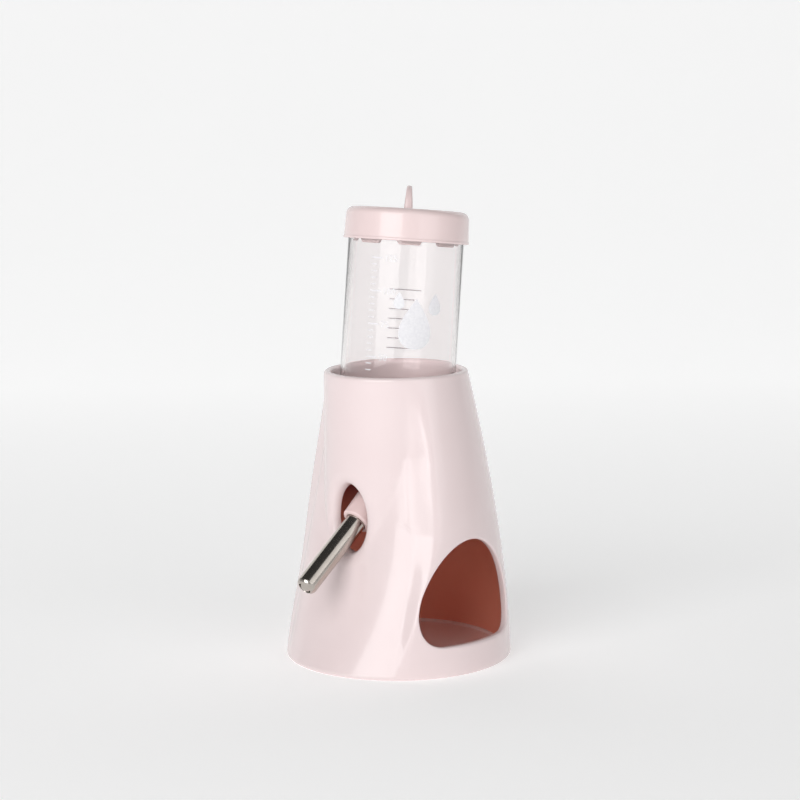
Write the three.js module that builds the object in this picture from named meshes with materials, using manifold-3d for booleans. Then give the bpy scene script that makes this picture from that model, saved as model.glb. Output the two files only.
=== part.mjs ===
// Small-animal water bottle in a bell-shaped plastic stand that is also a hideout.
// Millimetres, +Z up. The origin is the centre of the foot on the ground, the spout points along -Y and the
// doorway faces +X. The bottle leans away from the spout and hangs in the throat of the stand.
import * as THREE from 'three';
import { mergeVertices } from 'three/addons/utils/BufferGeometryUtils.js';
import Module from 'manifold-3d';

const wasm = await Module();
wasm.setup();

// ---- Driving dimensions of the stand
const STAND_HEIGHT = 127;
const FOOT_RADIUS = 50;
const RIM_RADIUS = 31.5;
const WALL = 3;
const WALL_STRETCH_LIMIT = 1.8; // a steep wall is thicker along the radius by up to this much
const BELL_POWER = 1.6;
const FOOT_BEVEL = 0.8;
// The spout side is scooped out, so that an upright face stands inside the bell and flares to the foot.
const FACE_RADIUS = 32.3;
const FACE_TAPER_FROM = 60; // above this height the face closes in to the rim
const FLARE_HEIGHT = 46; // in line with the spout, where the flare is also more hollow
const FLARE_RISE = 48;
const FLARE_POWER = 1.4;
const FLARE_POWER_DROP = 0.3;
const SCOOP_INNER_TOP = 51; // degrees each side of the spout where the face ends
const SCOOP_INNER_FOOT = 37;
const SCOOP_OUTER_TOP = 71; // degrees where the bell begins
const SCOOP_OUTER_FOOT = 50;
const SCOOP_NARROWS_BELOW = 50;
const DOOR_SIDE_NARROWS_BELOW = 60; // the bell comes further round beside the doorway
const DOOR_SIDE_POWER = 1.6;

// ---- Spout port: an oval bell mouth with a short collar behind it
const PORT_HEIGHT = 64.5;
const PORT_HALF_WIDTH = 9.8;
const PORT_HALF_HEIGHT = 14.8;
const PORT_LIP_SPREAD = 3.7;
const PORT_LIP_DEPTH = 4.5;
const PORT_COLLAR_WALL = 2.2;
const PORT_COLLAR_END = 25.4; // distance of the collar's inner end from the stand's axis

// ---- Doorway, an egg shape cut along X
const DOOR_HALF_WIDTH = 27.2;
const DOOR_SILL = 13;
const DOOR_SILL_HALF = 16;
const DOOR_WIDEST = 26;
const DOOR_TOP = 57;
const DOOR_SIDE_FROM = 18; // heights between which the sides swell and close
const DOOR_SIDE_TO = 39;
const DOOR_SILL_SHARE = 0.91; // curve handles, as shares of the half width
const DOOR_SHOULDER_SHARE = 0.96;
const DOOR_CROWN_SHARE = 0.54;
const DOOR_CUT_FROM = 24;
const DOOR_CUT_TO = 60;

// ---- Ribs inside the stand that carry the bottle's collar
const RIB_ANGLES = [118, 180, 242]; // degrees from the spout
const RIB_INNER = 18.5;
const RIB_OUTER = 38;
const RIB_DROP = 12;
const RIB_THICKNESS = 2.4;

// ---- Floor tray
const TRAY_RIM_HEIGHT = 3.2;
const TRAY_FLOOR = 2;
const TRAY_RIM_WALL = 1.4;
const TRAY_GAP = 0.9;

// ---- Bottle, measured along its own axis from a datum just under the collar
const LEAN = THREE.MathUtils.degToRad(6);
const DATUM = new THREE.Vector3(0, -2.3, 90);
const FIT = 0.3; // clearance between pieces that touch
const BOTTLE_RADIUS = 25.3;
const BOTTLE_WALL = 1.6;
const NECK_RADIUS = 21.6;
const NECK_WALL = 2;
const NECK_TOP = 22.2;
const SHOULDER_TOP = 27;
const MOUTH = 10.2;
const BOTTLE_TOP = 103.3;
const SHOULDER_STEP = 1.1; // the shoulder starts this much inside the bottle's radius
const SHOULDER_RISE = 1.4;

// ---- Cap
const CAP_RADIUS = 27.3;
const CAP_TOP_RADIUS = 26.8;
const CAP_BOTTOM = 93.7;
const CAP_TOP = 107.2;
const CAP_PLATE = 2;
const CAP_CORNER = 3.4;
const CAP_SKIRT_INNER = 25.75;
const PLUG_RADIUS = 23.2;
const PLUG_WALL = 2;
const PLUG_BOTTOM = 92.1;
const GASKET_INNER = 23.8;
const GASKET_OUTER = 25.4;

// ---- Hanging loop, set in two blind pockets of the cap
const LOOP_HALF_WIDTH = 9;
const LOOP_HEIGHT = 10.2;
const LOOP_HOLE_HALF = 5.2;
const LOOP_HOLE_HEIGHT = 6.4;
const LOOP_THICKNESS = 3.8;
const LOOP_BULGE = 0.55; // handle length of a quarter oval, as a share of its half axis
const LOOP_FOOT = 0.9;
const LOOP_TURN = THREE.MathUtils.degToRad(-45);

// ---- Screw collar and funnel
const COLLAR_RADIUS = 24.6;
const COLLAR_BOTTOM = 4;
const COLLAR_TOP = 21.7;
const COLLAR_FLOOR = 8;
const FUNNEL_TOP_RADIUS = 16.5;
const FUNNEL_LOW = -17.5;
const FUNNEL_LOW_RADIUS = 8;
const FUNNEL_FLOOR = 6; // thickness under the funnel's cavity
const FUNNEL_FLOOR_RADIUS = 5.4;
const COLLAR_BORE = 22.3;
const WASHER_INNER = 17.4;
const WASHER_THICKNESS = 1.6;

// ---- Spout, measured along its axis from the knee, where that axis meets the bottle's
const SPOUT_DROP = 10.5; // the knee is this far below the datum
const SPOUT_ANGLE = THREE.MathUtils.degToRad(52.1) - LEAN; // between the spout and the bottle's axis
const SPOUT_RADIUS = 4.6;
const SPOUT_WALL = 0.5;
const SPOUT_START = 6;
const SPOUT_END = 67.3;
const SPOUT_TIP_ROUND = 2.6;
const TIP_CLOSES_TO = THREE.MathUtils.degToRad(64);
const FLANGE_RADIUS = 5.6;
const FLANGE_THICKNESS = 1.2;
const SEAL_LENGTH = 6;
const SEAL_RADIUS = 5.6;
const SOCKET_RADIUS = 5.9;
const SOCKET_LEDGE = 13.9;
const ELBOW_START = -2;
const ELBOW_RADIUS = 10;
const ELBOW_END = 5;
const ELBOW_END_RADIUS = 9.2;
const FERRULE_START = 13;
const FERRULE_START_RADIUS = 7.5;
const FERRULE_END = 28;
const FERRULE_END_RADIUS = 6.8;
const FERRULE_CORNER = 1.1;
const FERRULE_BORE = 4.95;
const BALL_RADIUS = 3.5;
const TIP_BALL_AT = 64.1;
const STOP_AT = 49.5;
const STOP_THICKNESS = 1.5;
const STOP_HOLE = 1.6;

// ---- Facets
const ROUND = 48;
const SMALL_ROUND = 24;
const PORT_SIDES = 32;
const BALL_SIDES = 20;
const CURVE_SIDES = 8;
const STAND_ROWS = 17;

// ---------------------------------------------------------------- helpers

function toSolid(geometry) {
  const bare = new THREE.BufferGeometry();
  bare.setAttribute('position', geometry.getAttribute('position').clone());
  const count = geometry.getAttribute('position').count;
  bare.setIndex(geometry.index ? geometry.index.clone() : [...Array(count).keys()]);
  const merged = mergeVertices(bare, 1e-4);
  const corners = merged.index.array;
  const triangles = [];
  for (let i = 0; i < corners.length; i += 3) {
    const [a, b, c] = corners.slice(i, i + 3);
    if (a !== b && b !== c && c !== a) triangles.push(a, b, c);
  }
  return new wasm.Manifold(new wasm.Mesh({
    numProp: 3,
    vertProperties: Float32Array.from(merged.getAttribute('position').array),
    triVerts: Uint32Array.from(triangles),
  }));
}

function toGeometry(solid) {
  const mesh = solid.getMesh();
  const geometry = new THREE.BufferGeometry();
  geometry.setAttribute('position', new THREE.BufferAttribute(new Float32Array(mesh.vertProperties), 3));
  geometry.setIndex(new THREE.BufferAttribute(new Uint32Array(mesh.triVerts), 1));
  geometry.computeVertexNormals();
  return geometry;
}

// Turns a profile of [radius, height] pairs about the Z axis. Profiles run up the outside.
function turned(profile, segments = ROUND) {
  const points = profile.map(([radius, height]) => new THREE.Vector2(radius, height));
  const geometry = new THREE.LatheGeometry(points, segments);
  geometry.rotateX(Math.PI / 2);
  return geometry;
}

// A closed ring of rectangular section.
function ring(inner, outer, low, high, segments) {
  return turned([[inner, low], [outer, low], [outer, high], [inner, high], [inner, low]], segments);
}

// Skins a list of equal loops of points. A closed skin joins the last loop to the first, and an open one
// is capped by a fan at each end. Loops run anticlockwise about the direction of travel.
function skin(loops, closed) {
  const sides = loops[0].length;
  const points = loops.flat();
  const index = [];
  const spans = closed ? loops.length : loops.length - 1;
  for (let j = 0; j < spans; j++) {
    const next = (j + 1) % loops.length;
    for (let i = 0; i < sides; i++) {
      const k = (i + 1) % sides;
      index.push(j * sides + i, j * sides + k, next * sides + k);
      index.push(j * sides + i, next * sides + k, next * sides + i);
    }
  }
  if (!closed) {
    const last = (loops.length - 1) * sides;
    const middle = (loop) => loop.reduce((sum, p) => sum.add(p), new THREE.Vector3()).divideScalar(sides);
    points.push(middle(loops[0]), middle(loops.at(-1)));
    for (let i = 0; i < sides; i++) {
      const k = (i + 1) % sides;
      index.push(points.length - 2, k, i);
      index.push(points.length - 1, last + i, last + k);
    }
  }
  const geometry = new THREE.BufferGeometry().setFromPoints(points);
  geometry.setIndex(index);
  geometry.computeVertexNormals();
  return geometry;
}

function smoothstep(low, high, value) {
  const t = THREE.MathUtils.clamp((value - low) / (high - low), 0, 1);
  return t * t * (3 - 2 * t);
}

// ---------------------------------------------------------------- stand surface

function bellRadius(z) {
  return FOOT_RADIUS - (FOOT_RADIUS - RIM_RADIUS) * (Math.max(z, 0) / STAND_HEIGHT) ** BELL_POWER;
}

function faceRadius(z, angle = 0) {
  const aside = Math.min(Math.abs(angle) / SCOOP_INNER_TOP, 1) ** 2;
  const taper = Math.max(z - FACE_TAPER_FROM, 0) / (STAND_HEIGHT - FACE_TAPER_FROM);
  const power = FLARE_POWER - FLARE_POWER_DROP * aside;
  const flare = Math.max(1 - z / (FLARE_HEIGHT + FLARE_RISE * aside), 0) ** power;
  return FACE_RADIUS + (RIM_RADIUS - FACE_RADIUS) * taper + (FOOT_RADIUS - FACE_RADIUS) * flare;
}

// Outer radius at a height and at an angle in degrees from the spout, positive towards the doorway.
function outerRadius(z, angle) {
  const wrapped = THREE.MathUtils.euclideanModulo(angle + 180, 360) - 180;
  const low = 1 - THREE.MathUtils.clamp(z / SCOOP_NARROWS_BELOW, 0, 1);
  const open = 1 - low * low;
  const doorSide = THREE.MathUtils.clamp(z / DOOR_SIDE_NARROWS_BELOW, 0, 1) ** DOOR_SIDE_POWER;
  const inner = THREE.MathUtils.lerp(SCOOP_INNER_FOOT, SCOOP_INNER_TOP, open);
  const outer = THREE.MathUtils.lerp(SCOOP_OUTER_FOOT, SCOOP_OUTER_TOP, wrapped > 0 ? doorSide : open);
  const blend = smoothstep(inner, outer, Math.abs(wrapped));
  return THREE.MathUtils.lerp(faceRadius(z, wrapped), bellRadius(z), blend);
}

function innerRadius(z, angle) {
  const step = 0.5;
  const radius = outerRadius(z, angle);
  const rise = (outerRadius(z + step, angle) - outerRadius(z - step, angle)) / (2 * step);
  const arc = THREE.MathUtils.degToRad(2 * step) * radius;
  const turn = (outerRadius(z, angle + step) - outerRadius(z, angle - step)) / arc;
  return radius - WALL * Math.min(Math.hypot(1, rise, turn), WALL_STRETCH_LIMIT);
}

// A point at a radius, an angle in degrees from the spout towards the doorway, and a height.
function around(radius, angle, z) {
  const turn = THREE.MathUtils.degToRad(angle);
  return new THREE.Vector3(radius * Math.sin(turn), -radius * Math.cos(turn), z);
}

// Angles round the stand, close together over the scoop and wider apart over the plain bell.
function standAngles() {
  const fine = 4;
  const coarse = 8;
  const scoopEnd = 76;
  const angles = [];
  for (let angle = -scoopEnd; angle < scoopEnd; angle += fine) angles.push(angle);
  for (let angle = scoopEnd; angle < 360 - scoopEnd; angle += coarse) angles.push(angle);
  return angles;
}

// ---------------------------------------------------------------- stand

function standSkin() {
  const angles = standAngles();
  const rimRound = WALL / 2;
  const top = STAND_HEIGHT - rimRound;
  const loop = (radius, z) => angles.map((angle) => around(radius(z, angle), angle, z));
  const rise = (top - FOOT_BEVEL) / (STAND_ROWS - 1);
  const heights = Array.from({ length: STAND_ROWS }, (_, i) => FOOT_BEVEL + rise * i);
  const loops = [angles.map((angle) => around(outerRadius(0, angle) - FOOT_BEVEL, angle, 0))];
  for (const z of heights) loops.push(loop(outerRadius, z));
  for (const turn of [30, 60, 90, 120, 150].map(THREE.MathUtils.degToRad)) {
    const inset = rimRound * (1 - Math.cos(turn));
    const z = top + rimRound * Math.sin(turn);
    loops.push(angles.map((angle) => around(outerRadius(top, angle) - inset, angle, z)));
  }
  loops.push(angles.map((angle) => around(outerRadius(top, angle) - WALL, angle, top)));
  for (const z of heights.slice(0, -1).reverse()) loops.push(loop(innerRadius, z));
  loops.push(angles.map((angle) => around(innerRadius(FOOT_BEVEL, angle), angle, 0)));
  return toSolid(skin(loops, true));
}

// One oval loop of the port, spread beyond the throat, with the depth of each point given by a function.
function portLoop(spread, depth) {
  const points = [];
  for (let i = 0; i < PORT_SIDES; i++) {
    const turn = (2 * Math.PI * i) / PORT_SIDES;
    const x = (PORT_HALF_WIDTH + spread) * Math.cos(turn);
    const z = PORT_HEIGHT + (PORT_HALF_HEIGHT + spread) * Math.sin(turn);
    points.push(new THREE.Vector3(x, depth(x, z), z));
  }
  return points;
}

function faceDepth(x, z) {
  return -Math.sqrt(faceRadius(z) ** 2 - x * x);
}

// The loops run inwards, along +Y, so they are reversed to stay anticlockwise about that direction.
function portCollar() {
  const start = portLoop(PORT_COLLAR_WALL, (x, z) => faceDepth(x, z) + WALL / 2).reverse();
  const end = portLoop(PORT_COLLAR_WALL, () => -PORT_COLLAR_END).reverse();
  return toSolid(skin([start, end], false));
}

function portCutter() {
  const proud = 3;
  const beyond = 6;
  const loops = [portLoop(PORT_LIP_SPREAD, (x, z) => faceDepth(x, z) - proud)];
  for (const turn of [0, 22.5, 45, 67.5, 90].map(THREE.MathUtils.degToRad)) {
    const depth = PORT_LIP_DEPTH * (1 - Math.cos(turn));
    const spread = PORT_LIP_SPREAD * (1 - Math.sin(turn));
    loops.push(portLoop(spread, (x, z) => faceDepth(x, z) + depth));
  }
  loops.push(portLoop(0, () => beyond - PORT_COLLAR_END));
  return toSolid(skin(loops.map((loop) => loop.reverse()), false));
}

function doorCutter() {
  const w = DOOR_HALF_WIDTH;
  const [sill, shoulder, crown] = [DOOR_SILL_SHARE * w, DOOR_SHOULDER_SHARE * w, DOOR_CROWN_SHARE * w];
  const outline = new THREE.Shape();
  outline.moveTo(0, DOOR_SILL);
  outline.lineTo(DOOR_SILL_HALF, DOOR_SILL);
  outline.bezierCurveTo(sill, DOOR_SILL, w, DOOR_SIDE_FROM, w, DOOR_WIDEST);
  outline.bezierCurveTo(shoulder, DOOR_SIDE_TO, crown, DOOR_TOP, 0, DOOR_TOP);
  outline.bezierCurveTo(-crown, DOOR_TOP, -shoulder, DOOR_SIDE_TO, -w, DOOR_WIDEST);
  outline.bezierCurveTo(-w, DOOR_SIDE_FROM, -sill, DOOR_SILL, -DOOR_SILL_HALF, DOOR_SILL);
  outline.closePath();
  const depth = DOOR_CUT_TO - DOOR_CUT_FROM;
  const options = { depth, bevelEnabled: false, curveSegments: CURVE_SIDES };
  const cutter = new THREE.ExtrudeGeometry(outline, options);
  const across = new THREE.Vector3(0, 1, 0);
  const up = new THREE.Vector3(0, 0, 1);
  const outwards = new THREE.Vector3(1, 0, 0);
  cutter.applyMatrix4(new THREE.Matrix4().makeBasis(across, up, outwards));
  cutter.translate(DOOR_CUT_FROM, 0, 0);
  return toSolid(cutter);
}

// Height of the plane just under the collar, at a distance from the stand's axis towards the spout.
function shelfHeight(towardsSpout) {
  const axis = -DATUM.y - COLLAR_BOTTOM * Math.sin(LEAN);
  const middle = DATUM.z + COLLAR_BOTTOM * Math.cos(LEAN);
  return middle + Math.tan(LEAN) * (towardsSpout - axis) - FIT;
}

function rib(angle) {
  const towards = Math.cos(THREE.MathUtils.degToRad(angle));
  const innerTop = shelfHeight(RIB_INNER * towards);
  const outerTop = shelfHeight(RIB_OUTER * towards);
  const follow = bellRadius(outerTop - RIB_DROP) - bellRadius(outerTop);
  const outline = new THREE.Shape();
  outline.moveTo(RIB_INNER, innerTop);
  outline.lineTo(RIB_INNER, innerTop - RIB_THICKNESS);
  outline.lineTo(RIB_OUTER + follow - WALL, outerTop - RIB_DROP);
  outline.lineTo(RIB_OUTER + follow, outerTop - RIB_DROP);
  outline.lineTo(RIB_OUTER, outerTop);
  outline.closePath();
  const plate = new THREE.ExtrudeGeometry(outline, { depth: RIB_THICKNESS, bevelEnabled: false });
  plate.translate(0, 0, -RIB_THICKNESS / 2);
  const outward = around(1, angle, 0);
  const up = new THREE.Vector3(0, 0, 1);
  plate.applyMatrix4(new THREE.Matrix4().makeBasis(outward, up, outward.clone().cross(up)));
  return toSolid(plate);
}

function standShell() {
  let solid = standSkin().add(portCollar()).subtract(portCutter()).subtract(doorCutter());
  for (const angle of RIB_ANGLES) solid = solid.add(rib(angle));
  return toGeometry(solid);
}

function floorTray() {
  const angles = standAngles();
  const edge = (angle) => innerRadius(TRAY_RIM_HEIGHT, angle) - TRAY_GAP;
  const loop = (inset, z) => angles.map((angle) => around(edge(angle) - inset, angle, z));
  return skin([
    loop(0, 0),
    loop(0, TRAY_RIM_HEIGHT),
    loop(TRAY_RIM_WALL, TRAY_RIM_HEIGHT),
    loop(TRAY_RIM_WALL, TRAY_FLOOR),
  ], false);
}

// ---------------------------------------------------------------- bottle

function bottleTube() {
  const inner = BOTTLE_RADIUS - BOTTLE_WALL;
  const neckInner = NECK_RADIUS - NECK_WALL;
  const low = NECK_TOP + SHOULDER_RISE;
  return turned([
    [neckInner, MOUTH],
    [NECK_RADIUS, MOUTH],
    [NECK_RADIUS, NECK_TOP],
    [BOTTLE_RADIUS - SHOULDER_STEP, low],
    [BOTTLE_RADIUS, SHOULDER_TOP],
    [BOTTLE_RADIUS, BOTTLE_TOP],
    [inner, BOTTLE_TOP],
    [inner, SHOULDER_TOP + 1],
    [inner - SHOULDER_STEP, low + BOTTLE_WALL],
    [neckInner, NECK_TOP + BOTTLE_WALL],
    [neckInner, MOUTH],
  ]);
}

function capBody() {
  const ceiling = CAP_TOP - CAP_PLATE;
  const profile = [
    [0, ceiling],
    [PLUG_RADIUS - PLUG_WALL, ceiling],
    [PLUG_RADIUS - PLUG_WALL, PLUG_BOTTOM],
    [PLUG_RADIUS, PLUG_BOTTOM],
    [PLUG_RADIUS, ceiling],
    [CAP_SKIRT_INNER, ceiling],
    [CAP_SKIRT_INNER, CAP_BOTTOM],
    [CAP_RADIUS, CAP_BOTTOM],
  ];
  for (const turn of [0, 22.5, 45, 67.5, 90].map(THREE.MathUtils.degToRad)) {
    const inset = CAP_CORNER * (1 - Math.cos(turn));
    profile.push([CAP_TOP_RADIUS - inset, CAP_TOP - CAP_CORNER * (1 - Math.sin(turn))]);
  }
  profile.push([0, CAP_TOP]);
  return toSolid(turned(profile));
}

// The pocket that one foot of the loop stands in.
function footPocket(side) {
  const low = LOOP_HOLE_HALF - FIT;
  const high = LOOP_HALF_WIDTH + FIT;
  const depth = LOOP_FOOT + FIT;
  const proud = 1;
  const box = new THREE.BoxGeometry(high - low, LOOP_THICKNESS + 2 * FIT, depth + proud);
  box.translate((side * (low + high)) / 2, 0, CAP_TOP + (proud - depth) / 2);
  box.rotateZ(LOOP_TURN);
  return toSolid(box);
}

function bottleCap() {
  return toGeometry(capBody().subtract(footPocket(1)).subtract(footPocket(-1)));
}

function hangingLoop() {
  const outline = new THREE.Shape();
  const [w, h] = [LOOP_HALF_WIDTH, LOOP_HEIGHT];
  const [v, g] = [LOOP_HOLE_HALF, LOOP_HOLE_HEIGHT];
  const b = LOOP_BULGE;
  outline.moveTo(v, -LOOP_FOOT);
  outline.lineTo(w, -LOOP_FOOT);
  outline.lineTo(w, 0);
  outline.bezierCurveTo(w, h * b, w * b, h, 0, h);
  outline.bezierCurveTo(-w * b, h, -w, h * b, -w, 0);
  outline.lineTo(-w, -LOOP_FOOT);
  outline.lineTo(-v, -LOOP_FOOT);
  outline.lineTo(-v, 0);
  outline.bezierCurveTo(-v, g * b, -v * b, g, 0, g);
  outline.bezierCurveTo(v * b, g, v, g * b, v, 0);
  outline.closePath();
  const depth = LOOP_THICKNESS;
  const options = { depth, bevelEnabled: false, curveSegments: CURVE_SIDES };
  const loop = new THREE.ExtrudeGeometry(outline, options);
  loop.translate(0, 0, -LOOP_THICKNESS / 2);
  loop.rotateX(Math.PI / 2);
  loop.rotateZ(LOOP_TURN);
  loop.translate(0, 0, CAP_TOP);
  return loop;
}

// ---------------------------------------------------------------- nozzle

// Turns a shape made along +Z so that it lies along the spout, in the bottle's frame.
const SPOUT_TURN = Math.PI - SPOUT_ANGLE;

function alongSpout(geometry) {
  return toSolid(geometry.rotateX(SPOUT_TURN).translate(0, 0, -SPOUT_DROP));
}

function nozzleCollar() {
  const beyond = 1;
  const outside = toSolid(turned([
    [0, FUNNEL_LOW],
    [FUNNEL_LOW_RADIUS, FUNNEL_LOW],
    [FUNNEL_TOP_RADIUS + 1, COLLAR_BOTTOM],
    [COLLAR_RADIUS, COLLAR_BOTTOM],
    [COLLAR_RADIUS, COLLAR_TOP],
    [0, COLLAR_TOP],
  ]));
  const cavity = toSolid(turned([
    [0, FUNNEL_LOW + FUNNEL_FLOOR],
    [FUNNEL_FLOOR_RADIUS, FUNNEL_LOW + FUNNEL_FLOOR],
    [FUNNEL_TOP_RADIUS, COLLAR_FLOOR],
    [COLLAR_BORE, COLLAR_FLOOR],
    [COLLAR_BORE, COLLAR_TOP + beyond],
    [0, COLLAR_TOP + beyond],
  ]));
  const socket = alongSpout(turned([
    [0, ELBOW_START],
    [ELBOW_RADIUS, ELBOW_START],
    [ELBOW_END_RADIUS, ELBOW_END],
    [FERRULE_START_RADIUS, FERRULE_START],
    [FERRULE_END_RADIUS, FERRULE_END - FERRULE_CORNER],
    [FERRULE_END_RADIUS - FERRULE_CORNER, FERRULE_END],
    [0, FERRULE_END],
  ], SMALL_ROUND));
  const bore = alongSpout(turned([
    [0, 2 * ELBOW_START],
    [SOCKET_RADIUS, 2 * ELBOW_START],
    [SOCKET_RADIUS, SOCKET_LEDGE],
    [FERRULE_BORE, SOCKET_LEDGE],
    [FERRULE_BORE, FERRULE_END + beyond],
    [0, FERRULE_END + beyond],
  ], SMALL_ROUND));
  return toGeometry(outside.add(socket).subtract(cavity).subtract(bore));
}

function spoutTube() {
  const bore = SPOUT_RADIUS - SPOUT_WALL;
  const roundCentre = SPOUT_RADIUS - SPOUT_TIP_ROUND;
  const roundAt = SPOUT_END - SPOUT_TIP_ROUND;
  const steps = 5;
  const profile = [
    [bore, SPOUT_START],
    [FLANGE_RADIUS, SPOUT_START],
    [FLANGE_RADIUS, SPOUT_START + FLANGE_THICKNESS],
    [SPOUT_RADIUS, SPOUT_START + FLANGE_THICKNESS],
  ];
  const arc = (radius, turn) => [roundCentre + radius * Math.cos(turn), roundAt + radius * Math.sin(turn)];
  const turns = Array.from({ length: steps + 1 }, (_, i) => (TIP_CLOSES_TO * i) / steps);
  for (const turn of turns) profile.push(arc(SPOUT_TIP_ROUND, turn));
  for (const turn of turns.toReversed()) profile.push(arc(SPOUT_TIP_ROUND - SPOUT_WALL, turn));
  profile.push([bore, SPOUT_START]);
  return turned(profile, SMALL_ROUND);
}

function ballAt(distance) {
  const ball = new THREE.SphereGeometry(BALL_RADIUS, BALL_SIDES, BALL_SIDES / 2 + 2);
  ball.translate(0, 0, distance);
  return ball;
}

// ---------------------------------------------------------------- colours

function material(name, color, roughness, metalness = 0, opacity = 1) {
  return new THREE.MeshStandardMaterial({
    name, color, roughness, metalness, opacity, transparent: opacity < 1 });
}

const pinkPlastic = () => material('pink_plastic', 0xf2dcdc, 0.25);
const steel = () => material('polished_steel', 0xb8b2ad, 0.15, 1);
const silicone = () => material('pink_silicone', 0xd9a9a6, 0.6);
const clear = () => material('clear_plastic', 0xf4f4f6, 0.05, 0, 0.3);

// ---------------------------------------------------------------- assembly

function piece(name, geometry, finish) {
  const mesh = new THREE.Mesh(geometry, finish);
  mesh.name = name;
  return mesh;
}

const bottle_and_stand = new THREE.Group();
bottle_and_stand.add(piece('stand_shell', standShell(), pinkPlastic()));
bottle_and_stand.add(piece('floor_tray', floorTray(), pinkPlastic()));

const bottle = new THREE.Group();
bottle.position.copy(DATUM);
bottle.rotation.x = -LEAN;
bottle_and_stand.add(bottle);
const washerLow = COLLAR_FLOOR + FIT;
const washerOuter = COLLAR_BORE - FIT;
const washer = ring(WASHER_INNER, washerOuter, washerLow, washerLow + WASHER_THICKNESS, ROUND);
const gasket = ring(GASKET_INNER, GASKET_OUTER, BOTTLE_TOP + FIT, CAP_TOP - CAP_PLATE - FIT, ROUND);
bottle.add(piece('bottle_tube', bottleTube(), clear()));
bottle.add(piece('bottle_cap', bottleCap(), pinkPlastic()));
bottle.add(piece('cap_gasket', gasket, silicone()));
bottle.add(piece('hanging_loop', hangingLoop(), pinkPlastic()));
bottle.add(piece('nozzle_collar', nozzleCollar(), pinkPlastic()));
bottle.add(piece('collar_washer', washer, silicone()));

const spout = new THREE.Group();
spout.position.z = -SPOUT_DROP;
spout.rotation.x = SPOUT_TURN;
bottle.add(spout);
const sealStart = SPOUT_START + FLANGE_THICKNESS + FIT;
const seal = ring(SPOUT_RADIUS + FIT, SEAL_RADIUS, sealStart, sealStart + SEAL_LENGTH, SMALL_ROUND);
const stopRadius = SPOUT_RADIUS - SPOUT_WALL - FIT;
const stop = ring(STOP_HOLE, stopRadius, STOP_AT, STOP_AT + STOP_THICKNESS, SMALL_ROUND);
spout.add(piece('spout_tube', spoutTube(), steel()));
spout.add(piece('spout_seal', seal, silicone()));
spout.add(piece('ball_stop', stop, steel()));
spout.add(piece('tip_ball', ballAt(TIP_BALL_AT), steel()));
spout.add(piece('upper_ball', ballAt(TIP_BALL_AT - 2 * BALL_RADIUS - FIT), steel()));

export default bottle_and_stand;
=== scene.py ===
"""Looks of a small-animal water bottle that hangs in a bell-shaped hideout stand.

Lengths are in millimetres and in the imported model's frame, unless a comment says otherwise: the origin is the
centre of the foot, +Z is up, the spout points along -Y and the doorway faces +X. Meshes are written in metres.
"""

import math

import bmesh
import bpy
import numpy as np
from mathutils import Matrix, Vector


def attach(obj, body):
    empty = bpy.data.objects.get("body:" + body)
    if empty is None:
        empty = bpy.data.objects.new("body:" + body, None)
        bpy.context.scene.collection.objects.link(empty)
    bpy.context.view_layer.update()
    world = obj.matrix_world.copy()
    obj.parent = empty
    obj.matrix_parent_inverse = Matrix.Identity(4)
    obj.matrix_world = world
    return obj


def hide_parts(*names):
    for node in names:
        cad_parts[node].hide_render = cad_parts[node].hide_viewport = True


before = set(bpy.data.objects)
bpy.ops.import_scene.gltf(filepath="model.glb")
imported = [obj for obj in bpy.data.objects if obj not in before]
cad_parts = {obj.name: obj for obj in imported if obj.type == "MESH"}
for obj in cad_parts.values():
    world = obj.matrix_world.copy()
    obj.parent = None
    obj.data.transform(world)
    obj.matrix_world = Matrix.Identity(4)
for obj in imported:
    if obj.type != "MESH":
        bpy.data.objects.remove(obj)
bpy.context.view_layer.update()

MM = 0.001
TAU = 2 * math.pi

# ---- Stand, as in the frame
STAND_HEIGHT = 127.0
FOOT_RADIUS = 50.0
RIM_RADIUS = 31.5
WALL = 3.0
WALL_STRETCH_LIMIT = 1.8
BELL_POWER = 1.6
FOOT_ROUND = 0.8
FACE_RADIUS = 32.3
FACE_TAPER_FROM = 60.0
FLARE_HEIGHT = 46.0
FLARE_RISE = 48.0
FLARE_POWER = 1.4
FLARE_POWER_DROP = 0.3
SCOOP_INNER_TOP = 51.0
SCOOP_INNER_FOOT = 37.0
SCOOP_OUTER_TOP = 71.0
SCOOP_OUTER_FOOT = 50.0
SCOOP_NARROWS_BELOW = 50.0
DOOR_SIDE_NARROWS_BELOW = 60.0
DOOR_SIDE_POWER = 1.6

# ---- Port and doorway
PORT_HEIGHT = 64.5
PORT_HALF_WIDTH = 9.1
PORT_HALF_HEIGHT = 14.8
PORT_LIP_SPREAD = 6.2
PORT_LIP_DEPTH = 5.2
PORT_COLLAR_WALL = 2.2
PORT_COLLAR_END = 25.4
PORT_COLLAR_END_ROUND = 0.6
PORT_COLLAR_FILLET = 1.0
DOOR_HALF_WIDTH = 27.2
DOOR_SILL = 13.0
DOOR_SILL_HALF = 16.0
DOOR_SILL_SHARE = 0.91  # of the half width: where the curve from sill to side is aimed
DOOR_SIDE_FROM = 18.0
DOOR_WIDEST = 26.0
DOOR_SHOULDER_SHARE = 0.96
DOOR_SIDE_TO = 39.0
DOOR_CROWN_SHARE = 0.54
DOOR_TOP = 57.0
DOOR_MIDDLE = 32.0
DOOR_LIP = 1.1
DOOR_INNER_LIP = 0.7

# ---- Fineness of the stand
STAND_COLUMNS = 240
STAND_ROWS = 104
STAND_SEAM = -60  # degrees from the spout, clear of both openings
CURVE_STEPS = 60
WEB_RINGS = 14
WEB_CROWDING = 0.8
SEARCH_REACH = 80.0  # degrees
SEARCH_STEPS = 40

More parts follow.
